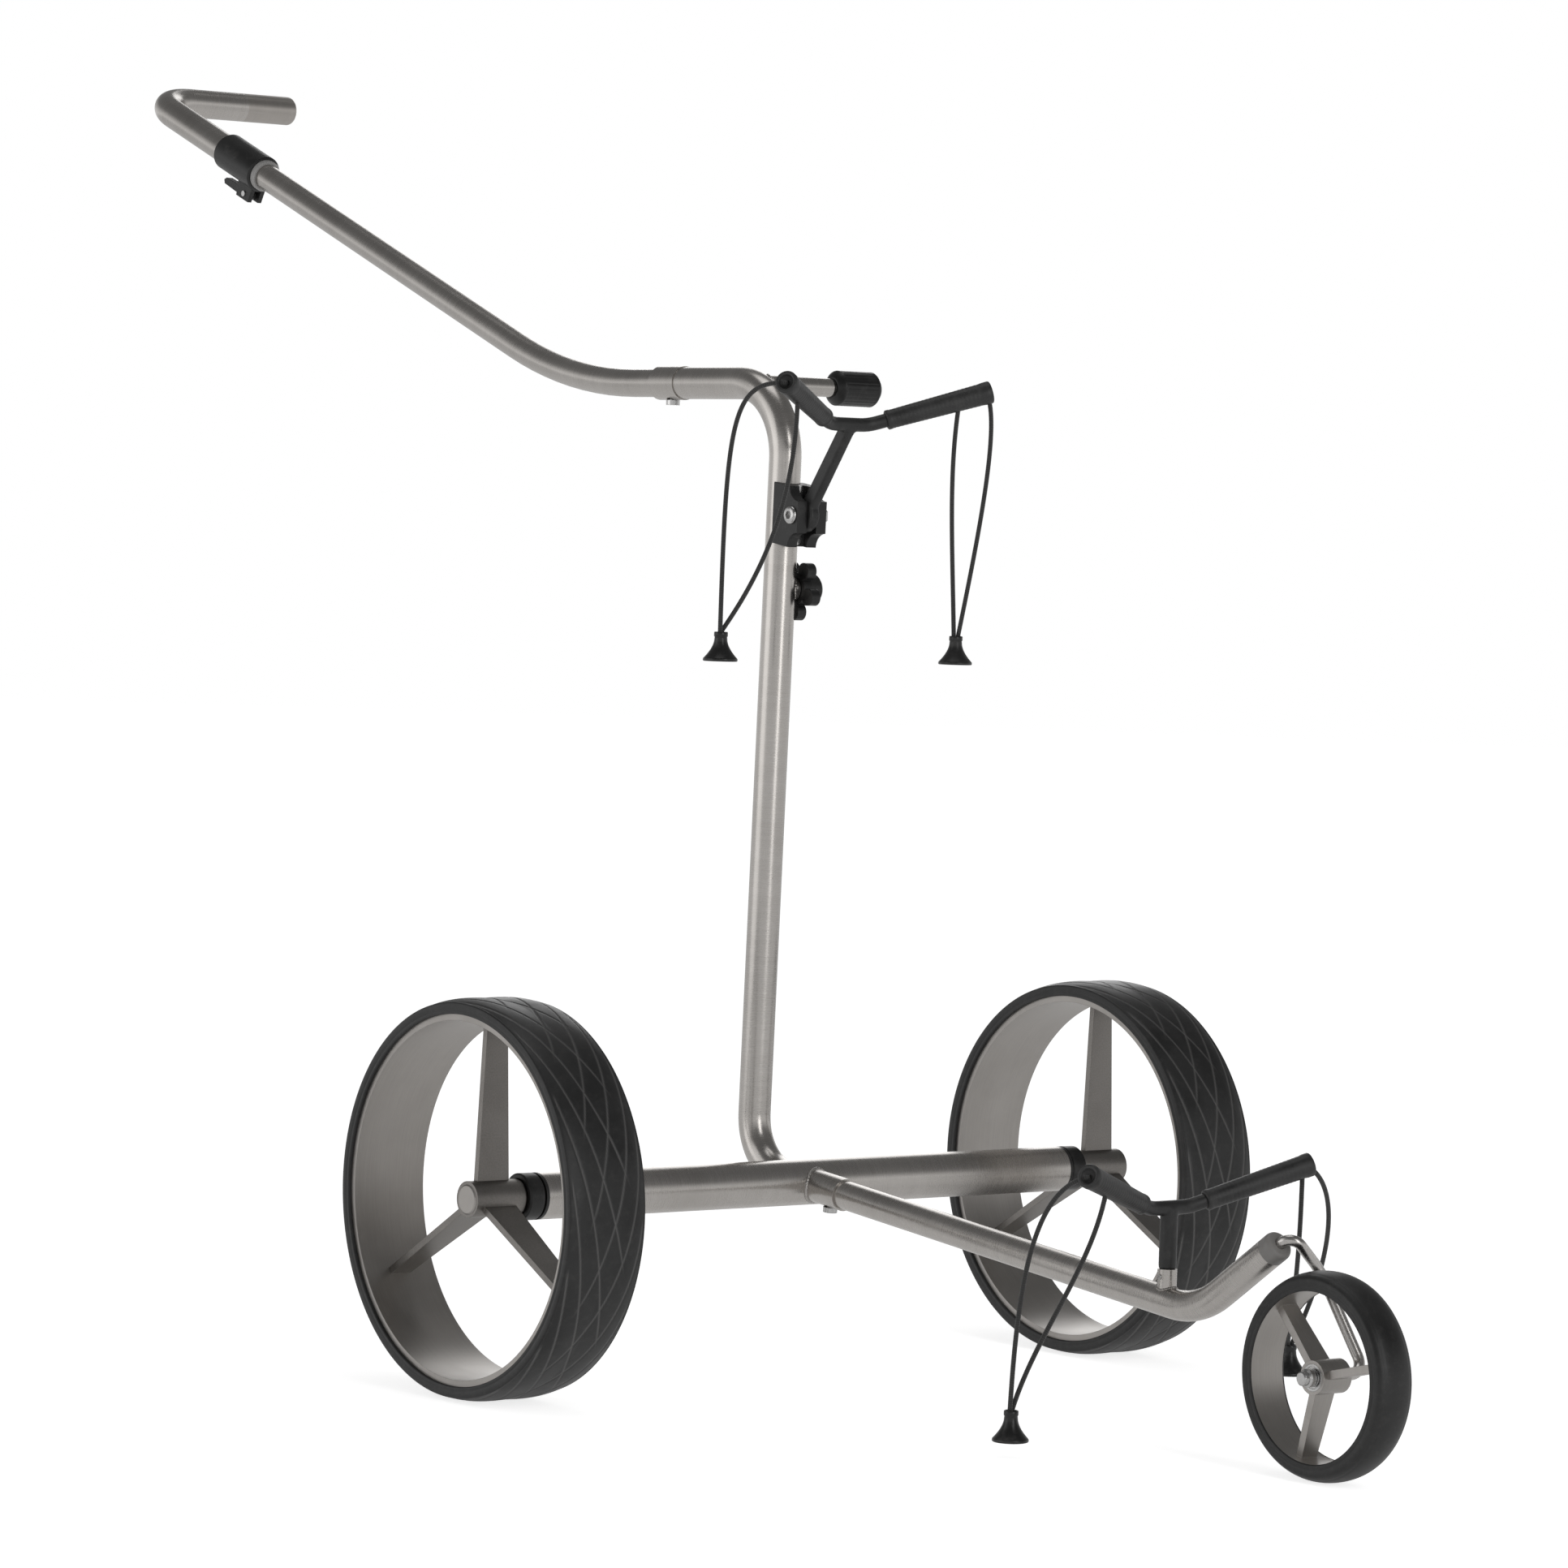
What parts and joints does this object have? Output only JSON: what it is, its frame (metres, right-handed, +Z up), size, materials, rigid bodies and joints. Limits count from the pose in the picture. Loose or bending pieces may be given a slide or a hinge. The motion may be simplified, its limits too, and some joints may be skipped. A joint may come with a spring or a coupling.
{
  "type": "golf push trolley",
  "caption": "Three-wheel golf push trolley in brushed steel tube with folding bag bracket, elastic bag ties, pull-off wheels and an adjustable side grip.",
  "frame": {"origin": "on the ground under the middle of the rear axle", "axes": "+Z up, +Y towards the handle, so that the front wheel leads along -Y, and +X along the rear axle to the side on which the grip's free end lies"},
  "size_m": [0.655, 1.637, 1.0176],
  "materials": {
    "brushed_steel": "satin, ground around the tube",
    "wheel_metal": "satin warm grey",
    "bright_steel": "bright",
    "tyre_rubber": "matt, fine leaf-shaped tread lines",
    "black_plastic": "matt moulded",
    "grey_plastic": "matt moulded",
    "light_plastic": "matt moulded",
    "black_coat": "matt powder coat",
    "black_rubber": "matt, fine cross ribs",
    "elastic_cord": "braided"
  },
  "bodies": {
    "frame": {"axle_tube": "brushed_steel", "lower_mast": "brushed_steel", "left_axle_bush": "black_plastic", "right_axle_bush": "black_plastic", "mast_clamp_boss": "brushed_steel"},
    "boom_screw": {"boom_lock_screw": "bright_steel"},
    "boom": {"front_tube": "brushed_steel", "front_tube_cap": "grey_plastic", "lower_bracket_boss": "brushed_steel", "lower_bracket": "black_coat", "lower_bracket_screw": "bright_steel", "lower_arm_sleeves": "black_rubber"},
    "fork": {"front_fork": "brushed_steel", "front_axle_nut": "bright_steel"},
    "front_wheel": {"front_wheel_centre": "wheel_metal", "front_tyre": "tyre_rubber", "front_bearings": "bright_steel"},
    "lower_left_tie": {"lower_left_cord": "elastic_cord", "lower_left_cone": "black_plastic"},
    "lower_right_tie": {"lower_right_cord": "elastic_cord", "lower_right_cone": "black_plastic"},
    "mast": {"upper_mast": "brushed_steel", "mast_spigot": "brushed_steel", "handle_sleeve": "brushed_steel", "accessory_stub": "brushed_steel", "upper_saddle": "black_plastic", "saddle_screws": "bright_steel", "hinge_bolt": "bright_steel", "hinge_nut": "bright_steel"},
    "mast_knob": {"mast_clamp_knob": "black_plastic", "mast_clamp_stud": "bright_steel"},
    "bag_bracket": {"upper_bracket": "black_coat", "upper_arm_sleeves": "black_rubber"},
    "upper_left_tie": {"upper_left_cord": "elastic_cord", "upper_left_cone": "black_plastic"},
    "upper_right_tie": {"upper_right_cord": "elastic_cord", "upper_right_cone": "black_plastic"},
    "stub_knob": {"accessory_knob": "black_plastic"},
    "handle_screw": {"handle_lock_screw": "bright_steel"},
    "handle": {"handle_tube": "brushed_steel"},
    "grip_clamp": {"grip_clamp_collar": "black_plastic", "grip_clamp_ring": "light_plastic", "clamp_lever_pin": "bright_steel"},
    "clamp_lever": {"grip_clamp_lever": "black_plastic"},
    "grip": {"grip_tube": "brushed_steel", "grip_end_cap": "brushed_steel"},
    "left_axle": {"left_stub_axle": "bright_steel"},
    "left_release": {"left_release_ring": "black_plastic"},
    "left_wheel": {"left_hub_and_spokes": "wheel_metal", "left_rim": "wheel_metal", "left_tyre": "tyre_rubber", "left_hub_bearings": "bright_steel", "left_hub_cap": "bright_steel"},
    "right_axle": {"right_stub_axle": "bright_steel"},
    "right_release": {"right_release_ring": "black_plastic"},
    "right_wheel": {"right_hub_and_spokes": "wheel_metal", "right_rim": "wheel_metal", "right_tyre": "tyre_rubber", "right_hub_bearings": "bright_steel", "right_hub_cap": "bright_steel"}
  },
  "joints": [
    {"name": "left_wheel_pull_off", "type": "slide", "parent": "frame", "child": "left_axle", "axis": [-1, 0, 0], "range_m": [0, 0.098]},
    {"name": "left_release_press", "type": "slide", "parent": "left_axle", "child": "left_release", "axis": [-1, 0, 0], "range_m": [0, 0.0042]},
    {"name": "left_wheel_spin", "type": "hinge", "parent": "left_axle", "child": "left_wheel", "pos_m": [-0.294, 0, 0.1475], "axis": [1, 0, 0], "continuous": true},
    {"name": "right_wheel_pull_off", "type": "slide", "parent": "frame", "child": "right_axle", "axis": [1, 0, 0], "range_m": [0, 0.098]},
    {"name": "right_release_press", "type": "slide", "parent": "right_axle", "child": "right_release", "axis": [1, 0, 0], "range_m": [0, 0.0042]},
    {"name": "right_wheel_spin", "type": "hinge", "parent": "right_axle", "child": "right_wheel", "pos_m": [0.294, 0, 0.1475], "axis": [1, 0, 0], "continuous": true},
    {"name": "boom_plug", "type": "slide", "parent": "frame", "child": "boom", "axis": [0, -0.9949, -0.1011], "range_m": [0, 0.07]},
    {"name": "boom_screw_turn", "type": "hinge", "parent": "frame", "child": "boom_screw", "pos_m": [0, -0.033, 0.14415], "axis": [0, 0.1011, -0.9949], "range_deg": [0, 720]},
    {"name": "fork_trim", "type": "hinge", "parent": "boom", "child": "fork", "pos_m": [0, -0.4494, 0.10185], "axis": [0, -0.8181, 0.575], "range_deg": [-6, 6]},
    {"name": "front_wheel_spin", "type": "hinge", "parent": "fork", "child": "front_wheel", "pos_m": [0, -0.5815, 0.073], "axis": [1, 0, 0], "continuous": true},
    {"name": "lower_left_tie_swing", "type": "hinge", "parent": "boom", "child": "lower_left_tie", "pos_m": [-0.106, -0.4472, 0.2023], "axis": [1, 0, 0], "range_deg": [-10, 10]},
    {"name": "lower_right_tie_swing", "type": "hinge", "parent": "boom", "child": "lower_right_tie", "pos_m": [0.106, -0.4472, 0.2023], "axis": [1, 0, 0], "range_deg": [-10, 10]},
    {"name": "mast_height", "type": "slide", "parent": "frame", "child": "mast", "axis": [0, -0.0255, 0.9997], "range_m": [0, 0.06]},
    {"name": "mast_knob_turn", "type": "hinge", "parent": "frame", "child": "mast_knob", "pos_m": [0, 0.05488, 0.59851], "axis": [1, 0, 0], "range_deg": [0, 720]},
    {"name": "bag_bracket_fold", "type": "hinge", "parent": "mast", "child": "bag_bracket", "pos_m": [0, 0.02542, 0.65517], "axis": [1, 0, 0], "range_deg": [0, 143]},
    {"name": "upper_left_tie_swing", "type": "hinge", "parent": "bag_bracket", "child": "upper_left_tie", "pos_m": [-0.0995, -0.07168, 0.75327], "axis": [1, 0, 0], "range_deg": [-143, 0]},
    {"name": "upper_right_tie_swing", "type": "hinge", "parent": "bag_bracket", "child": "upper_right_tie", "pos_m": [0.0995, -0.07168, 0.75327], "axis": [1, 0, 0], "range_deg": [-143, 0]},
    {"name": "stub_knob_turn", "type": "hinge", "parent": "mast", "child": "stub_knob", "pos_m": [0.0905, 0.085, 0.755], "axis": [1, 0, 0], "range_deg": [0, 720]},
    {"name": "handle_screw_turn", "type": "hinge", "parent": "mast", "child": "handle_screw", "pos_m": [0, 0.197, 0.756], "axis": [0, 0, -1], "range_deg": [0, 720]},
    {"name": "handle_plug", "type": "slide", "parent": "mast", "child": "handle", "axis": [0, 1, 0], "range_m": [0, 0.078]},
    {"name": "grip_length", "type": "slide", "parent": "handle", "child": "grip_clamp", "axis": [0, 0.9317, 0.3633], "range_m": [-0.03, 0.045]},
    {"name": "clamp_lever_open", "type": "hinge", "parent": "grip_clamp", "child": "clamp_lever", "pos_m": [0, 0.80936, 0.91889], "axis": [-1, 0, 0], "range_deg": [0, 110]},
    {"name": "grip_swivel", "type": "hinge", "parent": "grip_clamp", "child": "grip", "pos_m": [0, 0.97, 1.00514], "axis": [0, 0.9317, 0.3633], "range_deg": [-90, 90]}
  ],
  "couplings": [
    {"joint": "upper_left_tie_swing", "follows": "bag_bracket_fold", "ratio": -1},
    {"joint": "upper_right_tie_swing", "follows": "bag_bracket_fold", "ratio": -1}
  ]
}
